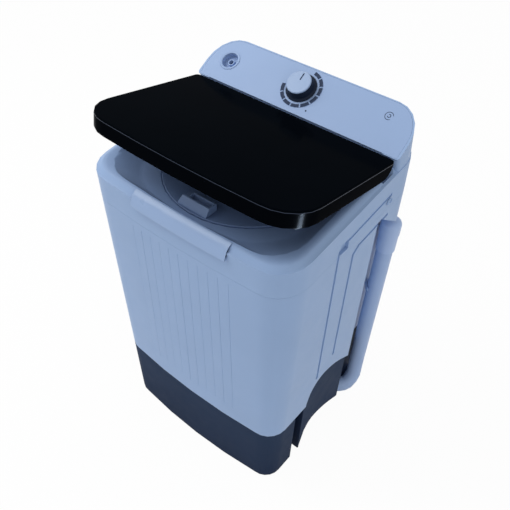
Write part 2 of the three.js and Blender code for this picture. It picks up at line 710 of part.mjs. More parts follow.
const onDial = (shape) => placed(shape, facePlace(DIAL.x, DIAL.up));

// The dial's thin ring, with its raised segments.
function dialRing() {
  const { r, width, height, marks, first, sweep, gap } = DIAL;
  const step = sweep / marks;
  const arcs = Array.from({ length: marks }, (_, i) => arcBlock(
    0, 0, r - width, r, first + i * step + gap / 2, first + (i + 1) * step - gap / 2, FIT + 0.2,
    FIT + height, 2));
  const ring = arcBlock(0, 0, r - width + 0.3, r - 0.3, first, first + sweep, FIT, FIT + 0.4, 18);
  return onDial(joined(ring, ...arcs));
}

// The knob's dark skirt, with finger flutes.
function knobSkirt() {
  const { baseR, faceR, height, capThick } = KNOB;
  const top = height - capThick - FIT;
  const skirt = turned([[TIMER.shaftR + FIT, 1], [baseR, 1], [baseR, 2.5], [baseR - 3.5, 5],
    [faceR + 0.6, top - 1], [faceR, top], [TIMER.shaftR + FIT, top], [TIMER.shaftR + FIT, 1]], 0, 0, 24);
  const flutes = Array.from({ length: 10 }, (_, i) => {
    const turn = i * 36 * DEG;
    const [x, y] = [Math.cos(turn), Math.sin(turn)];
    return bar([x * (baseR + 1.2), y * (baseR + 1.2), 4],
      [x * (faceR + 2.6), y * (faceR + 2.6), top + 1], 2.4, 2.4, 6);
  });
  return onDial(skirt.subtract(joined(...flutes)));
}

function knobCap() {
  const { faceR, height, capThick } = KNOB;
  const low = height - capThick;
  const cap = turned([[0, low], [faceR - 0.4, low], [faceR, low + 0.6], [faceR, height - 1.2],
    [faceR - 1.2, height], [0, height]], 0, 0, 28);
  return onDial(cap.subtract(box(-1.1, 1.1, 4, faceR - 3, height - 0.6, height + 2)));
}

function timer() {
  const { width, height, depth } = TIMER;
  const back = -FASCIA.thick - WALL - 2 * FIT;
  const body = box(-width / 2, width / 2, -height / 2, height / 2, back - depth, back);
  const terminals = joined(...[-16, 0, 16].map((x) => box(x - 2, x + 2, -height / 2 - 5, -height / 2 + 1,
    back - depth + 4, back - depth + 5)));
  const bore = rod(0, 0, back - 8, back + 5, TIMER.shaftR + FIT, TIMER.shaftR + FIT, 16);
  return onDial(body.add(terminals).subtract(bore));
}

function timerShaft() {
  const back = -FASCIA.thick - WALL - 2 * FIT;
  return onDial(rod(0, 0, back - 7, KNOB.height - KNOB.capThick - FIT, TIMER.shaftR, TIMER.shaftR, 12));
}

// The rinse-water cup and the nozzle that stands in it.
function inletCup() {
  const { r, depth, nozzleR } = INLET;
  const cup = turned([[nozzleR - 2, -depth - 14], [nozzleR, -depth - 14], [nozzleR, -depth - 2],
    [r - 1.3, -depth - 2], [r - 1.3, FIT], [r + 1.6, FIT], [r + 0.8, 1.3], [r - 3, 0.4],
    [r - 3.2, -depth + 0.5], [nozzleR, -depth + 0.5], [nozzleR, -depth + 6], [nozzleR - 2, -depth + 6],
    [nozzleR - 2, -depth - 14]],
  0, 0, 20);
  return placed(cup, facePlace(INLET.x, INLET.up));
}

const SWITCH = { x: 158, y: 128, z: 612, width: 22, height: 26, depth: 14, pinR: 2 };

function lidSwitch() {
  const { x, y, z, width, height, depth } = SWITCH;
  const button = bar([x, y - 0.5, z - 8], [x, y + 3, z - 8], 2.2, 2.2, 10);
  return box(x - width / 2, x + width / 2, y, y + depth, z - height / 2, z + height / 2).add(button);
}

// The lever that passes the lid's position to the switch and the brake cable.
function switchLever() {
  const { x, y, z, pinR } = SWITCH;
  const axis = y - 7;
  return joined(
    crossBar(x - 5, x + 5, axis, z, 4.5, 16),
    box(x - 3, x + 3, CONSOLE.front - 1, axis, z - 2, z + 2),
    box(x - 3, x + 3, axis - 2, axis + 2, z - 14, z),
  ).subtract(crossBar(x - 8, x + 8, axis, z, pinR + FIT, 12));
}

function switchBracket() {
  const { x, y, z, pinR } = SWITCH;
  const axis = y - 7;
  const wall = CONSOLE.front + CONSOLE.undercut + WALL + FIT;
  const cheek = (a, b) => box(a, b, wall, y - FIT, z - 6, z + 6);
  return joined(cheek(x - 10, x - 7.5), cheek(x + 7.5, x + 10), crossBar(x - 9, x + 9, axis, z, pinR, 12));
}

// ---- Lid ---------------------------------------------------------------------------------------

// The lid's own frame: its rear top edge is the x axis, y runs to the rear, z out of the top.
function lidPlace() {
  const { y, z } = lidCorner();
  return new THREE.Matrix4().makeTranslation(0, y, z)
    .multiply(new THREE.Matrix4().makeRotationX(-REST_ANGLE * DEG));
}

function lidRing(z, inset) {
  const { half, rearHalf, length, cornerR, rearR, bow } = LID;
  const ring = outline({
    half: half - inset,
    front: -length + inset,
    rear: -inset,
    frontR: cornerR - inset,
    rearR: Math.max(rearR - inset, 3),
    bow,
  }, level(z));
  return ring.map((p) => p.setX(p.x * (1 - (1 - rearHalf / half) * (1 + p.y / length))));
}

const lidTop = () => -LID_TOP.panel - LID_TOP.trim - 2 * FIT;

function lidFrame() {
  const { height, wall, lip: rearLip, half, rearHalf } = LID;
  const top = lidTop();
  const under = top - LID_TOP.sheet;
  const outer = loft([lidRing(-height, 1), lidRing(-height + 3, 0.2), lidRing(top, 0)]);
  const inner = loft([lidRing(-height - 5, wall), lidRing(under, wall)]);
  const rearEnd = crossPrism([[-60, -height - 9], [-60, -height - 0.1], [-27, -height + 0.7],
    [-21, -height + 2.2], [-15, -height + 6.2], [-10.5, -height + 11], [-8, -height + 14.5],
    [-7, -rearLip], [9, -rearLip], [9, -height - 9]], -half - 9, half + 9);
  const ribs = [-120, -40, 40, 120].map((x) => box(x - 1.2, x + 1.2, -255, -25, under - 6, under + 1));
  const lugs = both((side) => {
    const [x0, x1] = [EAR.outer + 2, rearHalf - wall + 1].map((x) => x * side).sort((a, b) => a - b);
    return box(x0, x1, -PIVOT.back - PIVOT.earR, -PIVOT.back + PIVOT.earR, -PIVOT.down, under + 1)
      .add(crossBar(x0, x1, -PIVOT.back, -PIVOT.down, PIVOT.earR));
  });
  const notches = both((side) => {
    const [x0, x1] = [EAR.inner - 4, EAR.outer + 4].map((x) => x * side).sort((a, b) => a - b);
    return box(x0, x1, -8, 6, -height - 5, under - 1);
  });
  const pinHalf = rearHalf - wall + 0.4;
  return outer
    .subtract(inner)
    .subtract(rearEnd)
    .add(joined(...ribs, ...lugs))
    .subtract(joined(...notches))
    .subtract(crossBar(-pinHalf, pinHalf, -PIVOT.back, -PIVOT.down, PIVOT.pinR + FIT));
}

function lidTrim() {
  const low = lidTop() + FIT;
  const high = low + LID_TOP.trim;
  return loft([lidRing(low, -0.15), lidRing(high, -0.15)])
    .subtract(loft([lidRing(low - 1, LID_TOP.trimWidth), lidRing(high + 1, LID_TOP.trimWidth)]));
}

const lidPanel = () => loft([lidRing(-LID_TOP.panel, 0.3), lidRing(-0.9, 0.2), lidRing(0, 1.3)]);

function lidPin(side) {
  const { y, z } = pivot();
  const [x0, x1] = [EAR.inner - 3, LID.rearHalf - LID.wall].map((x) => x * side).sort((a, b) => a - b);
  return crossBar(x0, x1, y, z, PIVOT.pinR, 16).add(crossBar(
    side > 0 ? x0 : x1 - 2, side > 0 ? x0 + 2 : x1, y, z, PIVOT.pinR + 2, 16));
}

// ---- Front grip ----------------------------------------------------------------------------------

const GRIP = { left: -96, right: 104, stations: 8 };

// A bright plate that hooks over the rim's front edge, following its bow.
function frontGrip() {
  const section = [[13.4, 10.1], [8, 8.8], [1.5, 5.2], [-5.6, -9.5], [-6.2, -12.5], [-3.4, -13],
    [-0.5, -11], [-0.4, 0.4], [7.4, 6.4], [12.8, 9.3]];
  const rings = Array.from({ length: GRIP.stations + 1 }, (_, i) => {
    const x = GRIP.left + ((GRIP.right - GRIP.left) * i) / GRIP.stations;
    const shrink = i === 0 || i === GRIP.stations ? 0.85 : 1;
    const front = frontAt(x, RIM_Z);
    return section.map(([dy, dz]) => new THREE.Vector3(
      x, front + (dy < 0 ? dy * shrink : dy), RIM_Z + dz + RIM_SLOPE * (front + dy - RIM.front)));
  });
  return loft(rings);
}

// ---- Spin cover ------------------------------------------------------------------------------

// A disc cut straight at the rear, where it hinges.
function coverDisc(r, z0, z1, rear) {
  const flat = box(-r - 5, r + 5, rear, COVER.y + r + 5, z0 - 5, z1 + 5);
  return rod(0, COVER.y, z0, z1, r, r, 40).subtract(flat);
}

function spinCover() {
  const { r, thick, proud, seat, rear } = COVER;
  const seatZ = WELL.floorZ - seat + FIT;
  const top = WELL.floorZ + proud;
  const dish = turned([[0, top - thick], [r - 5, top - thick], [r - 5, seatZ], [r, seatZ], [r, top - 1],
    [r - 1, top], [0, top]], 0, COVER.y, 40);
  const { y, z, lugR, lugs, pinR } = COVER_PIVOT;
  const lug = (side) => {
    const [x0, x1] = lugs.map((x) => x * side).sort((a, b) => a - b);
    return crossBar(x0, x1, y, z, lugR).add(box(x0, x1, rear - 6, y, top - thick, top));
  };
  return dish
    .subtract(box(-r - 5, r + 5, rear, COVER.y + r + 5, seatZ - 5, top + 5))
    .add(joined(...both(lug)))
    .subtract(crossBar(-lugs[1] - 2, lugs[1] + 2, y, z, pinR + FIT, 16));
}

// The finger tab on the cover's front edge, with a pocket behind its sloped face.
function coverLatch() {
  const { half, front, rear, height } = LATCH;
  const low = WELL.floorZ + COVER.proud + FIT;
  const ring = (x0, x1, y0, y1, z) => [[x0, y0], [x1, y0], [x1, y1], [x0, y1]].map(
    ([x, y]) => new THREE.Vector3(x, y, z));
  return loft([
    ring(-half, half, front, rear, low),
    ring(-half, half, front + 1, rear + 1, low + 3),
    ring(-half + 2, half - 1, front + 10, rear + 1, low + height),
  ]).subtract(box(-half + 14, half - 4, front + 13, rear - 2, low + 4, low + height + 5))
    .subtract(box(-half - 1, -half + 12, front + 14, rear + 3, low + 7, low + height + 5));
}

const coverPin = () => crossBar(-COVER_PIVOT.brackets[1] + 3.4, COVER_PIVOT.brackets[1] - 3.4,
  COVER_PIVOT.y, COVER_PIVOT.z, COVER_PIVOT.pinR, 12);

// ---- Drain tub, basket and drive -----------------------------------------------------------------

const tubTop = () => WELL.floorZ - WALL - FIT;

function drainTub() {
  const { r, wall, bottom, flange, mouthR, spigotR } = TUB;
  const top = tubTop();
  const shell = turned([[mouthR, bottom], [r - 6, bottom], [r, bottom + 6], [r, top - 3],
    [r + flange, top - 3], [r + flange, top], [r - wall, top], [r - wall, bottom + 7],
    [r - 7, bottom + wall], [mouthR, bottom + wall], [mouthR, bottom]], 0, MOUTH.y, 24);
  const { x, y } = OUTLET;
  return shell
    .add(rod(x, y, bottom - 26, bottom + 1, spigotR, spigotR, 16))
    .subtract(rod(x, y, bottom - 30, bottom + 5, spigotR - 2.4, spigotR - 2.4, 16));
}

// The bellows that seals the shaft into the tub's bottom and lets the drive sway.
function shaftSeal() {
  const b = TUB.bottom;
  const bore = BEARING.r + FIT;
  return turned([[bore, b - 14], [bore + 5, b - 14], [22, b - 3], [28, b + 4], [33, b - 3], [44, b - 4],
    [44, b - FIT], [37, b - FIT], [34.5, b + 1], [28, b + 8], [22, b + 3], [21, b + 16], [bore, b + 16],
    [bore, b - 14]],
  0, MOUTH.y, 20);
}

const bearing = (z) => tubeBar(0, MOUTH.y, z, z + BEARING.height, BEARING.r, SHAFT.r + FIT, 16);

function spinBasket() {
  const { r, wall, bottom, top, lipR, holeR, rows, columns } = BASKET;
  const shell = turned([[18.4, bottom + 3], [r - 10, bottom], [r, bottom + 10], [r, top - 6], [r - 4, top],
    [lipR, top], [lipR, top - wall], [r - 5, top - wall], [r - wall, top - 6.6], [r - wall, bottom + 10.6],
    [r - 10.6, bottom + wall], [18.4, bottom + 3 + wall], [18.4, bottom + 3]], 0, MOUTH.y, 24);
  const holes = [];
  for (let row = 0; row < rows; row += 1) {
    const z = bottom + 30 + (row * (top - bottom - 60)) / (rows - 1);
    for (let i = 0; i < columns / 2; i += 1) {
      const turn = ((i + (row % 2) / 2) / columns) * 360 * DEG;
      const [x, y] = [(r + 5) * Math.cos(turn), (r + 5) * Math.sin(turn)];
      holes.push(bar([-x, MOUTH.y - y, z], [x, MOUTH.y + y, z], holeR, holeR, 6));
    }
  }
  return shell.subtract(joined(...holes));
}

function basketHub() {
  const b = BASKET.bottom;
  const bore = SHAFT.r + FIT;
  return turned([[bore, b - 14], [16, b - 14], [19, b - 4], [42, b - 4], [42, b - 0.8], [18, b + 2.5],
    [18, b + 12], [13, b + 22], [bore, b + 22], [bore, b - 14]], 0, MOUTH.y, 18);
}

const NUT = { low: BASKET.bottom + 22.3, high: BASKET.bottom + 29, r: 11 };
const hubNut = () => rod(0, MOUTH.y, NUT.low, NUT.high, NUT.r, NUT.r, 6)
  .subtract(rod(0, MOUTH.y, NUT.low - 1, NUT.high + 1, SHAFT.r + FIT, SHAFT.r + FIT, 18));
const driveShaft = () => rod(0, MOUTH.y, SHAFT.low + 0.2, SHAFT.top, SHAFT.r, SHAFT.r, 16);
const rotorShaft = () => rod(0, MOUTH.y, MOTOR.low - 6, SHAFT.low - 0.2, SHAFT.r, SHAFT.r, 16);

function brakeDrum() {
  const { r, rim, low, high } = BRAKE;
  const bore = SHAFT.r + FIT;
  const mid = (low + high) / 2;
  return turned([[bore, low - 12], [15, low - 12], [15, mid - 2], [r - rim, mid - 2], [r - rim, low],
    [r, low], [r, high], [r - rim, high], [r - rim, mid + 2], [15, mid + 2], [15, high + 5],
    [bore, high + 5], [bore, low - 12]], 0, MOUTH.y, 24);
}

const PAD = { gap: 1.5, thick: 5, from: 20, to: 46 };

// The lever that presses the brake lining against the drum.
function brakeLever() {
  const { x, r, top } = POST;
  const y = MOUTH.y;
  const z0 = BRAKE.high - 8;
  const inner = BRAKE.r + PAD.gap + 3;
  const arm = plate([[x - 8, y - 6], [x + 7, y - 6], [x + 8, y + 6], [60, y + 22],
    [inner * 0.88, y + inner * 0.66], [inner * 0.76, y + inner * 0.62], [inner * 0.98, y + 14]], z0,
    z0 + 4);
  const pull = plate([[x - 2, y], [x + 7, y], [x + 14, y - 42], [x + 7, y - 44]], z0, z0 + 4);
  return arm.add(pull)
    .add(rod(x, y, z0 - 2, z0 + 6, 8.5, 8.5, 14))
    .subtract(rod(x, y, z0 - 5, top + 5, r + FIT, r + FIT, 12))
    .subtract(rod(x + 10, y - 38, z0 - 5, z0 + 9, 2, 2, 10));
}

const brakePad = () => arcBlock(0, MOUTH.y, BRAKE.r + PAD.gap, BRAKE.r + PAD.gap + PAD.thick, PAD.from,
  PAD.to,
  BRAKE.low + 1, BRAKE.high - 8 - FIT, 6);

function motor() {
  const { r, low, high, flangeR } = MOTOR;
  const seat = CARRIER.z + CARRIER.thick + FIT;
  return turned([[SHAFT.r + FIT, low], [26, low], [30, low + 5], [r - 5, low + 5], [r, low + 11],
    [r, seat], [flangeR, seat], [flangeR, seat + 4], [r, seat + 4], [r, high - 8], [r - 8, high],
    [24, high], [20, high + 8], [SHAFT.r + FIT, high + 8], [SHAFT.r + FIT, low]], 0, MOUTH.y, 24);
}

// The tripod ring that carries the motor on the three springs.
function carrier() {
  const { r, thick, z, padR } = CARRIER;
  const pads = springPlaces().map(([x, y]) => rod(x, y, z, z + thick, padR, padR, 14));
  return joined(rod(0, MOUTH.y, z, z + thick, r, r, 24), ...pads)
    .subtract(rod(0, MOUTH.y, z - 5, z + 9, MOTOR.r + FIT + 0.8, MOTOR.r + FIT + 0.8, 24))
    .add(rod(POST.x, MOUTH.y, z, POST.top, POST.r, POST.r, 12));
}

const SEAT = { r: 17.6, height: 7, floor: 2 };
const springLow = () => DECK.z + DECK.thick + FIT + SEAT.floor + FIT;
const springHigh = () => CARRIER.z - FIT;

// The rubber cup in which a spring stands.
function springCup([x, y]) {
  const low = DECK.z + DECK.thick + FIT;
  const bore = (SPRING.coilR + SPRING.wireR + FIT) / Math.cos(15 * DEG);
  return turned([[0, low], [SEAT.r, low], [SEAT.r, low + SEAT.height], [bore, low + SEAT.height],
    [bore, low + SEAT.floor], [0, low + SEAT.floor]], x, y, 12);
}

// One spring as an unbroken round wire.
function spring([x, y]) {
  const { wireR, coilR, turns } = SPRING;
  const [steps, sides] = [8 * turns, 5];
  const [low, high] = [springLow() + wireR, springHigh() - wireR];
  const rings = Array.from({ length: steps + 1 }, (_, i) => {
    const turn = (i / 8) * 2 * Math.PI;
    const z = low + ((high - low) * i) / steps;
    return Array.from({ length: sides }, (_unused, k) => {
      const roll = (k / sides) * 2 * Math.PI;
      const reach = coilR + wireR * Math.cos(roll);
      return new THREE.Vector3(x + reach * Math.cos(turn), y + reach * Math.sin(turn),
        z + wireR * Math.sin(roll));
    });
  });
  return loft(rings);
}

// ---- Base equipment -------------------------------------------------------------------------------

const CAPACITOR = { x: -118, y: 100, r: 18, height: 62 };

function capacitor() {
  const { x, y, r, height } = CAPACITOR;
  const low = DECK.z + DECK.thick + FIT;
  const can = turned([[0, low], [r - 1, low], [r, low + 1], [r, low + height - 2], [r - 2, low + height],
    [0, low + height]], x, y, 24);
  const top = low + height;
  const tabs = [-6, 6].map((dx) => box(x + dx - 3, x + dx + 3, y - 0.5, y + 0.5, top - 1, top + 9));
  return can.add(joined(...tabs));
}

// The strap that holds the capacitor to the deck.
function capacitorStrap() {
  const { x, y, r } = CAPACITOR;
  const low = DECK.z + DECK.thick + FIT;
  return tubeBar(x, y, low, low + 14, r + FIT + 1.8, r + FIT, 24)
    .add(box(x - r - 14, x - r - 1.5, y - 7, y + 7, low, low + 2))
    .subtract(rod(x, y, low - 1, low + 20, r + FIT, r + FIT, 24))
    .subtract(rod(x - r - 9, y, low - 5, low + 6, 2.1, 2.1, 10));
}

const GLAND = { x: -95, z: 165, bodyR: 8, capR: 10.5 };

// The strain relief through which the mains lead leaves at the back.
function cordGland() {
  const { x, z, bodyR, capR } = GLAND;
  const wall = rearAt(z);
  const out = wall + FIT + 0.3;
  return bar([x, wall - WALL - 5, z], [x, out + 1, z], bodyR)
    .add(bar([x, out, z], [x, out + 4, z], capR, capR - 1))
    .subtract(bar([x, wall - 20, z], [x, out + 20, z], 4, 4, 14));
}

const CABLE = { r: 2 };

// The brake cable, from the switch lever down to the brake lever.
function brakeCable() {
  const { x, y, z } = SWITCH;
  const route = [[x, y - 7, z - 15], [x, y - 8, z - 40], [151, 104, 520], [149, 88, 440], [151, 48, 330],
    [153, -2, 262], [140, -40, 228], [112, -52, BRAKE.high - 4], [94, MOUTH.y - 38.5, BRAKE.high - 6]];
  return sweep(route, CABLE.r, 6);
}

// ---- Drain hose -----------------------------------------------------------------------------------

const hoseAt = (z) => [sideAt(z) - HOSE.side, rearAt(z) - HOSE.back, z];

function hoseRoute() {
  const top = TUB.bottom - 2;
  const { x, y } = OUTLET;
  return [
    [x, y, top], [x, y, top - 14], [x + 0.5, y + 0.5, top - 30], [91, 74.5, 160], [100, 84, 95],
    [106, 88, 62], [124, 93, 34], [150, 98, 20.5], [168, 106, 17.8], [179, 121, 21], [182, 141, 38],
    hoseAt(70), hoseAt(110),
    hoseAt(250), hoseAt(HOSE.top),
  ];
}

// A round bar through a smooth route, with rings close together only in its bends.
function sweep(points, r, sides) {
  const path = new THREE.CatmullRomCurve3(points.map((p) => new THREE.Vector3(...p)), false,
    'centripetal');
  const spans = points.length - 1;
  const stops = [0];
  for (let i = 0; i < spans; i += 1) {
    const turn = path.getTangent(i / spans).angleTo(path.getTangent((i + 1) / spans));
    const parts = Math.max(1, Math.round(turn / (18 * DEG)));
    for (let k = 1; k <= parts; k += 1) stops.push((i + k / parts) / spans);
  }
  const side = new THREE.Vector3(1, 0, 0);
  const rings = stops.map((stop) => {
    const [centre, ahead] = [path.getPoint(stop), path.getTangent(stop)];
    side.addScaledVector(ahead, -side.dot(ahead)).normalize();
    const across = ahead.clone().cross(side);
    return Array.from({ length: sides }, (_, k) => {
      const roll = (k / sides) * 2 * Math.PI;
      return centre.clone().addScaledVector(side, r * Math.cos(roll)).addScaledVector(across,
        r * Math.sin(roll));
    });
  });
  return loft(rings);
}

// The hose, with a bore a little longer than it at both ends.
function drainHose() {
  const route = hoseRoute();
  const [first, last] = [route[0], route.at(-1)];
  const over = [[first[0], first[1], first[2] + 3], ...route.slice(1, -1), hoseAt(last[2] + 3)];
  return sweep(route, HOSE.r, 12).subtract(sweep(over, HOSE.bore, 12));
}

// Turns a shape whose axis is +Z so that it follows the hose's upright run.
function alongHose(shape, z) {
  const [a, b] = [hoseAt(z), hoseAt(z + 100)].map((p) => new THREE.Vector3(...p));
  const turn = new THREE.Quaternion().setFromUnitVectors(new THREE.Vector3(0, 0, 1), b.sub(a).normalize());
  return placed(shape, new THREE.Matrix4().compose(a, turn, new THREE.Vector3(1, 1, 1)));
}

// The domed cap on the hose's end, with its collar.
function hoseEndCap() {
  const { r, collarR, low, step, top } = HOSE_END;
  const bore = HOSE.r + FIT;
  const h = top - low;
  const s = step - low;
  return alongHose(turned([[bore, 0], [collarR - 0.6, 0], [collarR, 0.8], [collarR, s - 2], [r, s],
    [r, h - 9], [r - 1.6, h - 4.4], [r - 5, h - 1.4], [r - 10, h], [0, h], [0, h - 3], [r - 10.5, h - 3],
    [bore, h - 8], [bore, 0]], 0, 0, 20), low);
}

// A saddle on the channel's wall that grips the hose from behind.
function hoseClip() {
  const z = 300;
  const [x, y] = hoseAt(z);
  const inner = HOSE.r + 0.7;
  const wall = sideAt(z + 8) - CHANNEL.depth + FIT;
  const ring = arcBlock(x, y, inner, inner + 2.4, 110, 250, z - 4, z + 4, 10);
  const leg = box(wall, x - inner - 1, y - 6, y + 6, z - 4, z + 4);
  return ring.add(leg);
}

const HOOK = { y: 98, z: 574, r: 7 };

// The round retainer above the channel that the hose hooks under.
function hoseHook() {
  const x = sideAt(HOOK.z) + FIT + 0.3;
  return bar([x, HOOK.y, HOOK.z], [x + 1.7, HOOK.y, HOOK.z], HOOK.r, HOOK.r - 1, 20)
    .subtract(bar([x + 0.6, HOOK.y + 1.5, HOOK.z + 1.5], [x + 9, HOOK.y + 1.5, HOOK.z + 1.5],
      HOOK.r - 3, HOOK.r - 3, 16));
}

// ---- The model --------------------------------------------------------------------------------------

piece('cabinet', cabinet(), PAINT.shell);
piece('base', base(), PAINT.base);
piece('top_frame', topFrame(), PAINT.shell);
['front_left', 'front_right', 'rear_left', 'rear_right'].forEach(
  (corner, i) => piece(`foot_${corner}`, foot(FOOT_PLACES[i]), PAINT.rubber));
piece('rear_cover', rearCover(), PAINT.shell);
piece('front_grip', frontGrip(), PAINT.bright);

piece('console_fascia', fascia(), PAINT.fascia);
piece('dial_ring', dialRing(), PAINT.dark);
piece('knob_skirt', knobSkirt(), PAINT.dark);
piece('knob_cap', knobCap(), PAINT.bright);
piece('spin_timer', timer(), PAINT.dark);
piece('timer_shaft', timerShaft(), PAINT.steel);
piece('rinse_inlet', inletCup(), PAINT.bright);
piece('lid_switch', lidSwitch(), PAINT.dark);
piece('switch_lever', switchLever(), PAINT.tub);
piece('switch_bracket', switchBracket(), PAINT.steel);

const onLid = (shape) => placed(shape, lidPlace());
piece('lid_frame', onLid(lidFrame()), PAINT.lid);
piece('lid_trim', onLid(lidTrim()), PAINT.silver);
piece('lid_panel', onLid(lidPanel()), PAINT.gloss);
piece('lid_pin_right', lidPin(1), PAINT.steel);
piece('lid_pin_left', lidPin(-1), PAINT.steel);

piece('spin_cover', spinCover(), PAINT.inner);
piece('cover_latch', coverLatch(), PAINT.inner);
piece('cover_pin', coverPin(), PAINT.steel);

piece('drain_tub', drainTub(), PAINT.tub);
piece('shaft_seal', shaftSeal(), PAINT.rubber);
piece('bearing_upper', bearing(TUB.bottom + 2), PAINT.steel);
piece('bearing_lower', bearing(TUB.bottom - 12), PAINT.steel);
piece('spin_basket', spinBasket(), PAINT.steel);
piece('basket_hub', basketHub(), PAINT.castMetal);
piece('hub_nut', hubNut(), PAINT.steel);
piece('drive_shaft', driveShaft(), PAINT.steel);
piece('brake_drum', brakeDrum(), PAINT.castMetal);
piece('rotor_shaft', rotorShaft(), PAINT.steel);
piece('motor', motor(), PAINT.castMetal);
piece('motor_carrier', carrier(), PAINT.steel);
piece('brake_lever', brakeLever(), PAINT.steel);
piece('brake_pad', brakePad(), PAINT.rubber);
piece('brake_cable', brakeCable(), PAINT.rubber);
springPlaces().forEach((place, i) => piece(`spring_${i + 1}`, spring(place), PAINT.steel));
springPlaces().forEach((place, i) => piece(`spring_cup_${i + 1}`, springCup(place), PAINT.rubber));
piece('capacitor', capacitor(), PAINT.tub);
piece('capacitor_strap', capacitorStrap(), PAINT.steel);
piece('cord_gland', cordGland(), PAINT.rubber);

piece('drain_hose', drainHose(), PAINT.hose);
piece('hose_end_cap', hoseEndCap(), PAINT.hose);
piece('hose_clip', hoseClip(), PAINT.shell);
piece('hose_hook', hoseHook(), PAINT.shell);

export default group;
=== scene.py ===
"""A laundry spin dryer, dressed for rendering over its CAD frame. Metres, +Z up, front towards -Y."""

import json
import math

import bmesh
import bpy
from mathutils import Matrix, Vector
from mathutils.bvhtree import BVHTree


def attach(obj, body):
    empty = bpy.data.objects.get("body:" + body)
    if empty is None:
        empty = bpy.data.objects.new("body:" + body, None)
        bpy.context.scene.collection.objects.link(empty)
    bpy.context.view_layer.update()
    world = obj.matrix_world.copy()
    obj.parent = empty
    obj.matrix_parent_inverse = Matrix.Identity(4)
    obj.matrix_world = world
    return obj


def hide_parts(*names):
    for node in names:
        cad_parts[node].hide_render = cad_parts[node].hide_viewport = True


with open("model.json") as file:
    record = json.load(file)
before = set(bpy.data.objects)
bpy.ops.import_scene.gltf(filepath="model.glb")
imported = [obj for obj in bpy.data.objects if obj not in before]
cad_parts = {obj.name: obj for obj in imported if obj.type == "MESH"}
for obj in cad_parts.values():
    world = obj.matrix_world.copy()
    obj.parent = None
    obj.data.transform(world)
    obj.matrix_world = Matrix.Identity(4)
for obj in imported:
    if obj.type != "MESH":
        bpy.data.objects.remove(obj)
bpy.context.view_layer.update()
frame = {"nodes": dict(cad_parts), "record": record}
nodes = frame["nodes"]

MM = 0.001
MIDDLE_Y = -2.16  # the CAD's own drawing frame lies this far from the row frame, in mm
CONSOLE_TILT = math.radians(30.2)
DIAL_CENTRE = Vector((-0.008, 0.147654, 0.673851))

# The dial's plane on the console: x across, y up the face, z out of it.
FACE = Matrix.Translation(DIAL_CENTRE) @ Matrix.Rotation(CONSOLE_TILT, 4, "X")


def at(x, y, z):
    """A point of the CAD drawing, in mm, as a point of the row frame, in metres."""
    return Vector((x * MM, (y + MIDDLE_Y) * MM, z * MM))


# ---- Camera ---------------------------------------------------------------------------------


IMAGE = 510  # the picture's side, in pixels
FOCAL = 687.135  # in pixels
CENTRE = (253.641, 254.585)  # where the camera's axis meets the picture, in pixels
SENSOR = 36
EYE = Vector((0.59369, -0.70916, 1.28828))
PITCH, AZIMUTH, ROLL = 0.7696, 0.6900, 0.0024


def make_camera():
    level = math.cos(PITCH)
    look = Vector((-math.sin(AZIMUTH) * level, math.cos(AZIMUTH) * level, -math.sin(PITCH)))
    right = Vector((math.cos(AZIMUTH), math.sin(AZIMUTH), 0))
    up = right.cross(look)
    x = right * math.cos(ROLL) + up * math.sin(ROLL)
    y = up * math.cos(ROLL) - right * math.sin(ROLL)
    data = bpy.data.cameras.new("camera")
    data.sensor_width = SENSOR
    data.lens = FOCAL / IMAGE * SENSOR
    data.shift_x = (IMAGE / 2 - CENTRE[0]) / IMAGE
    data.shift_y = (CENTRE[1] - IMAGE / 2) / IMAGE
    data.clip_start = 0.01
    data.clip_end = 50
    camera = bpy.data.objects.new("camera", data)
    bpy.context.scene.collection.objects.link(camera)
    camera.matrix_world = Matrix((
        (x.x, y.x, -look.x, EYE.x),
        (x.y, y.y, -look.y, EYE.y),
        (x.z, y.z, -look.z, EYE.z),
        (0, 0, 0, 1)))
    bpy.context.scene.camera = camera


make_camera()


# ---- Materials ------------------------------------------------------------------------------


# Painted shade: ambient occlusion darkens the plastics' base colour where the shape closes in, standing for
# the shade in the well under the lid and in the base's slots.
PAINTED_SHADE_REACH = 0.2  # how far away a wall still closes a place in
PAINTED_SHADE_OPENNESS = (0.2, 0.95)  # the openness at which the darkening is full, and that at which it ends
PAINTED_SHADE_TINT = (1.06, 0.98, 0.76)  # the darkening's share in red, green and blue
PAINTED_SHADE_SIDE_FADE = (0.197, 0.206)  # the distance from the middle over which the darkening fades out


def linear(rgb):
    """An 8-bit display colour as linear values."""
    values = [c / 255 for c in rgb]
    return [c / 12.92 if c <= 0.04045 else ((c + 0.055) / 1.055) ** 2.4 for c in values] + [1.0]


def shade(rgb, factor):
    return [min(1.0, c * factor) for c in rgb[:3]] + [1.0]


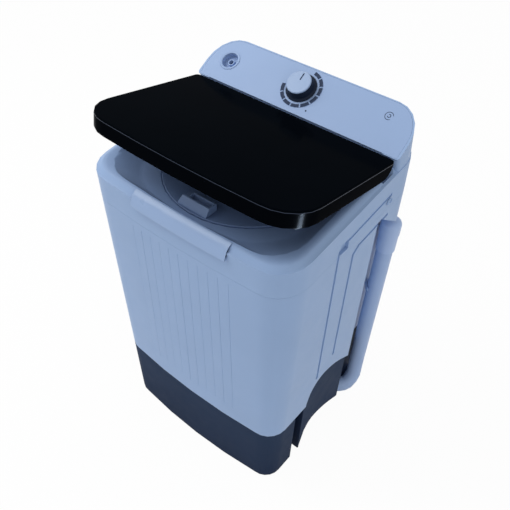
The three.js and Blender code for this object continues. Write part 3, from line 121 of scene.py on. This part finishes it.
class Shader:
    """A small helper that wires one Principled material."""

    def __init__(self, name):
        self.material = bpy.data.materials.new(name)
        self.material.use_nodes = True
        self.tree = self.material.node_tree
        self.bsdf = self.tree.nodes["Principled BSDF"]
        self.coords = self.tree.nodes.new("ShaderNodeTexCoord").outputs["Object"]

    def node(self, kind, **values):
        made = self.tree.nodes.new(kind)
        for key, value in values.items():
            setattr(made, key, value)
        return made

    def link(self, a, b):
        self.tree.links.new(a, b)

    def noise(self, scale, detail=2.0, rough=0.5, stretch=None):
        tex = self.node("ShaderNodeTexNoise")
        tex.inputs["Scale"].default_value = scale
        tex.inputs["Detail"].default_value = detail
        tex.inputs["Roughness"].default_value = rough
        source = self.coords
        if stretch:
            mapping = self.node("ShaderNodeMapping")
            mapping.inputs["Scale"].default_value = stretch
            self.link(source, mapping.inputs["Vector"])
            source = mapping.outputs["Vector"]
        self.link(source, tex.inputs["Vector"])
        return tex.outputs["Fac"]

    def spread(self, fac, low, high, start=0.3, end=0.7):
        tool = self.node("ShaderNodeMapRange")
        tool.inputs["From Min"].default_value = start
        tool.inputs["From Max"].default_value = end
        tool.inputs["To Min"].default_value = low
        tool.inputs["To Max"].default_value = high
        self.link(fac, tool.inputs["Value"])
        return tool.outputs["Result"]

    def ramp(self, fac, stops):
        tool = self.node("ShaderNodeValToRGB")
        ramp = tool.color_ramp
        while len(ramp.elements) < len(stops):
            ramp.elements.new(0.5)
        for element, (place, color) in zip(ramp.elements, stops):
            element.position = place
            element.color = color
        self.link(fac, tool.inputs["Fac"])
        return tool.outputs["Color"]

    def paint_shade(self, color, painted_shade):
        """Painted shade: the colour, darker where the shape closes in on itself, but not in the side walls'
        grooves.
        """
        closed = self.node("ShaderNodeAmbientOcclusion", samples=8)
        closed.inputs["Distance"].default_value = PAINTED_SHADE_REACH
        apart = self.node("ShaderNodeSeparateXYZ")
        self.link(self.coords, apart.inputs[0])
        side = self.node("ShaderNodeMath", operation="ABSOLUTE")
        self.link(apart.outputs["X"], side.inputs[0])
        painted_shade_mask = self.node("ShaderNodeMath", operation="MULTIPLY")
        self.link(self.spread(closed.outputs["AO"], 1, 0, *PAINTED_SHADE_OPENNESS), painted_shade_mask.inputs[0])
        self.link(self.spread(side.outputs[0], 1, 0, *PAINTED_SHADE_SIDE_FADE), painted_shade_mask.inputs[1])
        painted_shade_color = [1 - share * painted_shade for share in PAINTED_SHADE_TINT] + [1]
        tone = self.node("ShaderNodeVectorMath", operation="MULTIPLY")
        self.link(color, tone.inputs[0])
        self.link(self.ramp(painted_shade_mask.outputs[0], [(0, (1, 1, 1, 1)), (1, painted_shade_color)]), tone.inputs[1])
        return tone.outputs[0]

    def bump(self, height, distance, strength):
        tool = self.node("ShaderNodeBump")
        tool.inputs["Distance"].default_value = distance
        tool.inputs["Strength"].default_value = strength
        self.link(height, tool.inputs["Height"])
        self.link(tool.outputs["Normal"], self.bsdf.inputs["Normal"])


def plastic(name, rgb, rough, spread=0.05, vary=0.02, grain=1500, depth=0.00002, specular=0.5, ior=1.5,
            painted_shade=0.0):
    """Moulded plastic: faint cloudy colour, painted shade in its hollows, uneven gloss and a fine moulded
    grain.
    """
    s = Shader(name)
    base = linear(rgb)
    cloud = s.noise(9, 3)
    color = s.ramp(cloud, [(0.3, shade(base, 1 - vary)), (0.7, shade(base, 1 + vary))])
    # Painted shade: the colour darkens where the shape closes in on itself.
    if painted_shade:
        color = s.paint_shade(color, painted_shade)
    s.link(color, s.bsdf.inputs["Base Color"])
    smear = s.noise(34, 4, 0.6)
    s.link(s.spread(smear, rough - spread, rough + spread), s.bsdf.inputs["Roughness"])
    s.bump(s.noise(grain, 1.5), depth, 0.5)
    s.bsdf.inputs["Specular IOR Level"].default_value = specular
    s.bsdf.inputs["IOR"].default_value = ior
    return s.material


def metal(name, rgb, rough=0.3, brush=(1, 1, 40), scale=60, depth=0.00003):
    """Worked metal: fine streaks in colour, gloss and relief."""
    s = Shader(name)
    base = linear(rgb)
    streak = s.noise(scale, 4, 0.6, brush)
    tones = [(0.3, shade(base, 0.9)), (0.7, shade(base, 1.06))]
    s.link(s.ramp(streak, tones), s.bsdf.inputs["Base Color"])
    s.link(s.spread(streak, rough - 0.07, rough + 0.09), s.bsdf.inputs["Roughness"])
    s.bsdf.inputs["Metallic"].default_value = 1.0
    s.bump(streak, depth, 0.35)
    return s.material


def rubber(name, rgb, rough=0.8):
    s = Shader(name)
    base = linear(rgb)
    dust = s.noise(160, 5, 0.7)
    tones = [(0.35, shade(base, 0.85)), (0.75, shade(base, 1.35))]
    s.link(s.ramp(dust, tones), s.bsdf.inputs["Base Color"])
    s.link(s.spread(dust, rough - 0.1, rough + 0.08), s.bsdf.inputs["Roughness"])
    s.bump(s.noise(900, 2), 0.00006, 0.6)
    s.bsdf.inputs["Specular IOR Level"].default_value = 0.3
    return s.material


FASCIA_RGB = (150, 174, 212)
SEGMENT_RGB = (48, 61, 86)
SEGMENT_FOOT = (0.00084, 0.00096)  # the height above the console at which a dial segment's colour begins


def dial_material():
    """The dial: dark raised segments over a ring of the console's own colour."""
    s = Shader("dial_plastic")
    normal = FACE.col[2].xyz
    flat = s.node("ShaderNodeVectorMath", operation="DOT_PRODUCT")
    s.link(s.coords, flat.inputs[0])
    flat.inputs[1].default_value = normal
    rise = s.node("ShaderNodeMath", operation="SUBTRACT")
    s.link(flat.outputs["Value"], rise.inputs[0])
    rise.inputs[1].default_value = normal.dot(DIAL_CENTRE)
    height = s.spread(rise.outputs[0], 0, 1, *SEGMENT_FOOT)
    tones = [(0.4, linear(FASCIA_RGB)), (0.6, linear(SEGMENT_RGB))]
    s.link(s.ramp(height, tones), s.bsdf.inputs["Base Color"])
    s.link(s.spread(s.noise(300), 0.4, 0.55), s.bsdf.inputs["Roughness"])
    s.bsdf.inputs["Specular IOR Level"].default_value = 0.1
    return s.material


MAT = {
    "body": plastic("body_plastic", (150, 176, 214), rough=0.44, specular=0.2),
    # Painted shade in the hollows of the frame, base, cover and latch.
    "frame": plastic("frame_plastic", (150, 176, 214), rough=0.44, specular=0.2, painted_shade=0.44),
    "fascia": plastic("fascia_plastic", FASCIA_RGB, rough=0.38, vary=0.015, specular=0.2),
    "grip": plastic("grip_plastic", (147, 171, 208), rough=0.3, spread=0.04, specular=0.35),
    "base": plastic("base_plastic", (46, 60, 84), rough=0.55, spread=0.06, vary=0.05, grain=1100,
                    depth=0.00004, specular=0.3, ior=1.1, painted_shade=0.5),
    "lid": plastic("lid_plastic", (4, 6, 10), rough=0.18, spread=0.03, vary=0.1, grain=700,
                   depth=0.00001, ior=1.018),
    "gloss": plastic("lid_gloss", (4, 7, 12), rough=0.12, spread=0.03, vary=0.1, grain=500,
                     depth=0.000006, ior=1.02),
    "dark": plastic("dark_plastic", (26, 36, 54), rough=0.4, vary=0.08, specular=0.3, ior=1.25),
    "cap": plastic("cap_plastic", (150, 173, 208), rough=0.3, spread=0.04, specular=0.3),
    "cover": plastic("cover_plastic", (124, 147, 182), rough=0.32, specular=0.15, painted_shade=0.5),
    "latch": plastic("latch_plastic", (128, 151, 187), rough=0.32, specular=0.15, painted_shade=0.4),
    "tub": plastic("tub_plastic", (176, 188, 203), rough=0.5, vary=0.03),
    "hose": plastic("hose_plastic", (163, 187, 226), rough=0.42, spread=0.06, grain=900,
                    depth=0.00003, specular=0.25),
    "hosecap": plastic("hose_cap_plastic", (172, 195, 233), rough=0.38, specular=0.25),
    "mark": plastic("mark_ink", (38, 50, 74), rough=0.6, vary=0.1, grain=2500, depth=0.00001, specular=0.1),
    "steel": metal("bright_steel", (196, 200, 206), rough=0.28),
    "basket": metal("brushed_stainless", (202, 205, 210), brush=(1, 1, 30), scale=40),
    "chrome": metal("trim_metal", (58, 65, 80), rough=0.34, brush=(1, 30, 1), scale=50, depth=0.00001),
    "cast": metal("cast_metal", (120, 126, 134), rough=0.5, brush=(1, 1, 1), scale=260, depth=0.00008),
    "rubber": rubber("black_rubber", (26, 28, 31)),
    "dial": dial_material(),
}

USE = {
    "body": ("cabinet", "rear_cover", "hose_clip", "hose_hook"),
    "frame": ("top_frame",),
    "fascia": ("console_fascia", "rinse_inlet"),
    "grip": ("front_grip",),
    "base": ("base",),
    "lid": ("lid_frame",),
    "gloss": ("lid_panel",),
    "chrome": ("lid_trim",),
    "dial": ("dial_ring",),
    "dark": ("knob_skirt", "spin_timer", "lid_switch"),
    "cap": ("knob_cap",),
    "cover": ("spin_cover",),
    "latch": ("cover_latch",),
    "tub": ("drain_tub", "capacitor", "switch_lever"),
    "hose": ("drain_hose",),
    "hosecap": ("hose_end_cap",),
    "basket": ("spin_basket",),
    "cast": ("motor", "basket_hub", "brake_drum"),
}
MATERIAL_OF = {node: MAT[key] for key, group in USE.items() for node in group}
RUBBERS = ("foot_", "shaft_seal", "brake_pad", "brake_cable", "spring_cup", "cord_gland")


def material_of(node):
    if node in MATERIAL_OF:
        return MATERIAL_OF[node]
    return MAT["rubber"] if node.startswith(RUBBERS) else MAT["steel"]


# ---- Smooth-shaded pieces that stand for faceted CAD nodes -----------------------------------


BODY_OF = {n: b for b, ns in frame["record"]["behaviour"]["bodies"].items() for n in ns}

# Each smooth piece's bevel, in mm.
SMOOTH = {
    "cabinet": 1.1, "base": 0.8, "top_frame": 1.1, "rear_cover": 0.5, "front_grip": 0.5,
    "console_fascia": 0.5, "rinse_inlet": 0.3, "dial_ring": 0, "knob_skirt": 0.5, "knob_cap": 0.4,
    "lid_frame": 0.8, "lid_panel": 0.3,
    "lid_trim": 0.2, "spin_cover": 0.4, "cover_latch": 0.5, "hose_end_cap": 0.4, "drain_hose": 0.3,
    "hose_hook": 0.3, "hose_clip": 0.3,
}

# Neighbours that a piece meets in a tight seam.
TIGHT = {
    "cabinet": ("top_frame",), "top_frame": ("cabinet", "console_fascia"), "console_fascia": ("top_frame",),
}
SEAM_REACH = 0.8 * MM
SEAM_SHARE = 0.12  # the part of the bevel that an edge along a seam takes
SAME_PLACE = 2e-6
NO_LENGTH = 1e-6
FLAT = math.radians(0.4)
SHARP = math.radians(33)
BENT = math.radians(38)


def weigh_edges(bm, node):
    """Bent edges take the full bevel, except along a tight seam with a neighbour."""
    meshes = [nodes[other].data for other in TIGHT[node]]
    trees = [BVHTree.FromPolygons([v.co for v in mesh.vertices], [p.vertices for p in mesh.polygons])
             for mesh in meshes]
    weight = bm.edges.layers.float.new("bevel_weight_edge")
    for edge in bm.edges:
        bent = len(edge.link_faces) == 2 and edge.calc_face_angle(0) > BENT
        seam = any(all(tree.find_nearest(v.co)[3] < SEAM_REACH for v in edge.verts) for tree in trees)
        edge[weight] = (SEAM_SHARE if seam else 1.0) if bent else 0.0


def smooth_mesh(node):
    """A copy of a CAD node's mesh with flat fans merged and only its sharp edges left sharp."""
    mesh = nodes[node].data.copy()
    bm = bmesh.new()
    bm.from_mesh(mesh)
    bmesh.ops.remove_doubles(bm, verts=bm.verts, dist=SAME_PLACE)
    bmesh.ops.dissolve_degenerate(bm, dist=NO_LENGTH, edges=bm.edges)
    bmesh.ops.dissolve_limit(bm, angle_limit=FLAT, verts=bm.verts, edges=bm.edges)
    for face in bm.faces:
        face.smooth = True
    for edge in bm.edges:
        if len(edge.link_faces) == 2:
            edge.smooth = edge.calc_face_angle(0) < SHARP
    if node in TIGHT:
        weigh_edges(bm, node)
    bm.to_mesh(mesh)
    bm.free()
    mesh.materials.clear()
    mesh.materials.append(material_of(node))
    return mesh


def smooth_piece(node, bevel):
    """A piece that stands for a CAD node, with its edges eased and its curved faces shaded smooth."""
    made = bpy.data.objects.new(node + ".smooth", smooth_mesh(node))
    bpy.context.scene.collection.objects.link(made)
    if bevel:
        tool = made.modifiers.new("ease", "BEVEL")
        tool.width = bevel * MM
        tool.segments = 2
        tool.limit_method = "WEIGHT" if node in TIGHT else "ANGLE"
        tool.angle_limit = BENT
        tool.use_clamp_overlap = True
        tool.miter_outer = "MITER_ARC"
    fix = made.modifiers.new("normals", "WEIGHTED_NORMAL")
    fix.keep_sharp = not bevel
    fix.weight = 80
    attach(made, BODY_OF[node])
    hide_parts(node)
    return made


for name, node in nodes.items():
    node.data.materials.clear()
    node.data.materials.append(material_of(name))
pieces = {name: smooth_piece(name, width) for name, width in SMOOTH.items()}


def widen_cap(share):
    """The knob's pale cap reaches over the edge of its skirt."""
    grow = FACE @ Matrix.Diagonal((share, share, 1, 1)) @ FACE.inverted()
    piece = pieces["knob_cap"]
    piece.data.transform(piece.matrix_world.inverted() @ grow @ piece.matrix_world)


widen_cap(1.03)


# ---- Details that the CAD leaves to the scene --------------------------------------------------


POINTER = {"half": 0.8, "start": 4.6, "end": 18.0, "low": 18.92, "high": 19.3}
INK = (-0.1, 0.12)  # the printed marks' underside and top, in mm from the console's face
DOT = (32.1, -34.5)
SIGN = (166, 14)
REAR_WALL = {"foot": 177, "lean": 12, "height": 592}  # where the rear wall starts, and how it leans back
COVER_STAND = 2.8  # the rear cover's outer face, behind the rear wall
SCREW_PLACES = [(-126, 184), (126, 184), (-126, 436), (126, 436)]
SCREW_R = 3.6
SCREW_PROFILE = [(1, -0.1), (1, 0.01), (0.86, 0.05), (0.56, 0.07), (0.01, 0.075)]  # in radii
# The painted shade of a screw's cross recess: a flat black cross on the head.
CROSS_SHADE = {"half": 0.55, "thin": 0.12, "low": 0.05, "high": 0.085}  # in radii
CHANNEL_FLOOR = [(148, 122), (186, 122), (186, 143), (176, 166), (160, 174), (148, 176)]


def add_mesh(name, points, faces, material, body, matrix=None):
    mesh = bpy.data.meshes.new(name)
    mesh.from_pydata([matrix @ Vector(p) if matrix else Vector(p) for p in points], [], faces)
    mesh.validate()
    bm = bmesh.new()
    bm.from_mesh(mesh)
    bmesh.ops.recalc_face_normals(bm, faces=bm.faces)
    bm.to_mesh(mesh)
    bm.free()
    mesh.materials.append(MAT[material])
    made = bpy.data.objects.new(name, mesh)
    bpy.context.scene.collection.objects.link(made)
    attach(made, body)
    return made


def plate(name, outline, low, high, material, body, matrix=None):
    """A flat piece with the given outline, between two heights, all in metres."""
    count = len(outline)
    points = [(x, y, low) for x, y in outline] + [(x, y, high) for x, y in outline]
    faces = [tuple(range(count)), tuple(range(count, 2 * count))]
    faces += [(i, (i + 1) % count, count + (i + 1) % count, count + i) for i in range(count)]
    return add_mesh(name, points, faces, material, body, matrix)


def ring_mark(name, centre, outer, inner, first, sweep, sides=28):
    """A flat printed arc on the console's face: centre and radii in mm, angles in degrees."""
    turns = [math.radians(first + sweep * i / sides) for i in range(sides + 1)]
    arc = [(centre[0] + outer * math.cos(t), centre[1] + outer * math.sin(t)) for t in turns]
    back = [(centre[0] + inner * math.cos(t), centre[1] + inner * math.sin(t)) for t in reversed(turns)]
    outline = [(x * MM, y * MM) for x, y in arc + back]
    plate(name, outline, INK[0] * MM, INK[1] * MM, "mark", "housing", FACE)


def add_pointer():
    """The line on the knob's cap."""
    half, start, end = [POINTER[key] * MM for key in ("half", "start", "end")]
    line = [(-half, start), (half, start), (half, end), (-half, end)]
    plate("knob_pointer", line, POINTER["low"] * MM, POINTER["high"] * MM,
          "mark", "knob", FACE)


def add_marks():
    ring_mark("dial_dot", DOT, outer=1.5, inner=0.1, first=0, sweep=359)
    ring_mark("spin_icon", SIGN, outer=7.6, inner=6.6, first=20, sweep=290)
    ring_mark("spin_icon_middle", SIGN, outer=3.4, inner=2.2, first=200, sweep=290)


def add_screw(name, place, normal):
    """A countersunk screw head, almost level with its surface, with its cross recess given as a flat cross
    of painted shade.
    """
    out = Vector(normal).normalized()
    across = Vector((1, 0, 0))
    up = out.cross(across)
    pose = Matrix((
        (across.x, up.x, out.x, place.x),
        (across.y, up.y, out.y, place.y),
        (across.z, up.z, out.z, place.z),
        (0, 0, 0, 1)))
    radius = SCREW_R * MM
    sides = 20
    turns = [2 * math.pi * i / sides for i in range(sides)]
    points = [(radius * share * math.cos(turn), radius * share * math.sin(turn), radius * height)
              for share, height in SCREW_PROFILE for turn in turns]
    faces = [tuple(range(sides))]
    for ring in range(0, sides * (len(SCREW_PROFILE) - 1), sides):
        for i in range(sides):
            j = (i + 1) % sides
            faces.append((ring + i, ring + j, ring + sides + j, ring + sides + i))
    head = add_mesh(name, points, faces, "steel", "housing", pose)
    for face in head.data.polygons:
        face.use_smooth = True
    add_cross_shade(name + "_recess", radius, pose)


def add_cross_shade(name, radius, pose):
    """Painted shade: a flat black cross on a screw's head, standing for the shade in its cross recess."""
    long, thin = radius * CROSS_SHADE["half"], radius * CROSS_SHADE["thin"]
    cross = [(-thin, -long), (thin, -long), (thin, -thin), (long, -thin), (long, thin), (thin, thin),
             (thin, long), (-thin, long), (-thin, thin), (-long, thin), (-long, -thin), (-thin, -thin)]
    # The black material here is painted shade, not rubber.
    plate(name, cross, radius * CROSS_SHADE["low"], radius * CROSS_SHADE["high"], "rubber", "housing", pose)


def add_screws():
    """The rear cover's four corner screws."""
    for i, (x, z) in enumerate(SCREW_PLACES):
        y = REAR_WALL["foot"] + REAR_WALL["lean"] * z / REAR_WALL["height"] + COVER_STAND
        add_screw(f"cover_screw_{i + 1}", at(x, y, z), (0, 1, -0.02))


def add_channel_floor():
    """The web of the base under the hose's foot."""
    outline = [at(x, y, 0).xy for x, y in CHANNEL_FLOOR]
    made = plate("channel_floor", outline, 2.2 * MM, 5 * MM, "base", "housing")
    ease = made.modifiers.new("ease", "BEVEL")
    ease.width = 0.8 * MM
    ease.segments = 2


add_pointer()
add_marks()
add_screws()
add_channel_floor()


# ---- Floor, light and background --------------------------------------------------------------


FLOOR_HALF = 14
FLOOR_DROP = 0.0005
FLOOR_WHITE = 0.96  # the glowing share of the floor that the camera sees, while the rest shows the shadow
SKY = 0.6
KEY = {"place": (-1.3, -0.6, 2.2), "target": (-0.1, 0, 0.5), "size": (1.4, 1.4), "power": 25}
SIDE = {"place": (2.2, -1.2, 1.5), "target": (0, 0, 0.4), "size": (0.5, 1.8), "power": 5.6}
EDGE = {"place": (0.65, -0.20, 0.22), "target": (0.2, -0.14, 0.66), "size": (0.12, 0.6), "power": 320}
EDGE_RGB = (0.62, 0.78, 1.0)


def seen_rays(tree):
    """1 for the rays that the camera sees straight, in a mirror or through a pane, and 0 for light."""
    path = tree.nodes.new("ShaderNodeLightPath")
    seen = path.outputs["Is Camera Ray"]
    for kind in ("Is Glossy Ray", "Is Transmission Ray"):
        either = tree.nodes.new("ShaderNodeMath")
        either.operation = "MAXIMUM"
        tree.links.new(seen, either.inputs[0])
        tree.links.new(path.outputs[kind], either.inputs[1])
        seen = either.outputs[0]
    return seen


def make_floor():
    mesh = bpy.data.meshes.new("floor")
    half = FLOOR_HALF
    corners = [(-half, -half, 0), (half, -half, 0), (half, half, 0), (-half, half, 0)]
    mesh.from_pydata(corners, [], [(0, 1, 2, 3)])
    floor = bpy.data.objects.new("floor", mesh)
    bpy.context.scene.collection.objects.link(floor)
    floor.location.z = -FLOOR_DROP
    s = Shader("floor")
    s.bsdf.inputs["Base Color"].default_value = (0.9, 0.9, 0.9, 1)
    s.bsdf.inputs["Roughness"].default_value = 0.9
    s.bsdf.inputs["Specular IOR Level"].default_value = 0.1
    glow = s.node("ShaderNodeEmission")
    glow.inputs["Strength"].default_value = 1.0
    share = s.node("ShaderNodeMath", operation="MULTIPLY")
    share.inputs[1].default_value = FLOOR_WHITE
    s.link(seen_rays(s.tree), share.inputs[0])
    mix = s.node("ShaderNodeMixShader")
    s.link(share.outputs[0], mix.inputs["Fac"])
    s.link(s.bsdf.outputs[0], mix.inputs[1])
    s.link(glow.outputs[0], mix.inputs[2])
    s.link(mix.outputs[0], s.tree.nodes["Material Output"].inputs["Surface"])
    mesh.materials.append(s.material)


def make_world():
    world = bpy.data.worlds.new("world")
    bpy.context.scene.world = world
    world.use_nodes = True
    tree = world.node_tree
    ground = tree.nodes["Background"]
    ground.inputs["Color"].default_value = (1, 1, 1, 1)
    ground.inputs["Strength"].default_value = SKY
    white = tree.nodes.new("ShaderNodeBackground")
    white.inputs["Color"].default_value = (1, 1, 1, 1)
    white.inputs["Strength"].default_value = 1.0
    mix = tree.nodes.new("ShaderNodeMixShader")
    tree.links.new(seen_rays(tree), mix.inputs["Fac"])
    tree.links.new(ground.outputs[0], mix.inputs[1])
    tree.links.new(white.outputs[0], mix.inputs[2])
    tree.links.new(mix.outputs[0], tree.nodes["World Output"].inputs["Surface"])


def make_light(name, place, target, size, power):
    data = bpy.data.lights.new(name, "AREA")
    data.shape = "RECTANGLE"
    data.size, data.size_y = size
    data.energy = power
    lamp = bpy.data.objects.new(name, data)
    bpy.context.scene.collection.objects.link(lamp)
    lamp.location = place
    lamp.rotation_mode = "QUATERNION"
    lamp.rotation_quaternion = (Vector(target) - Vector(place)).to_track_quat("-Z", "Y")
    return lamp


def make_edge_light():
    """A lamp that only the lid's frame mirrors, for the bright line on its corner."""
    lamp = make_light("edge", **EDGE)
    group = bpy.data.collections.new("edge_pieces")
    group.objects.link(pieces["lid_frame"])
    lamp.light_linking.receiver_collection = group
    lamp.data.color = EDGE_RGB
    lamp.visible_diffuse = False
    lamp.visible_camera = False


make_floor()
make_world()
make_light("key", **KEY)
make_light("side", **SIDE)
make_edge_light()

view = bpy.context.scene.view_settings
view.view_transform = "Standard"
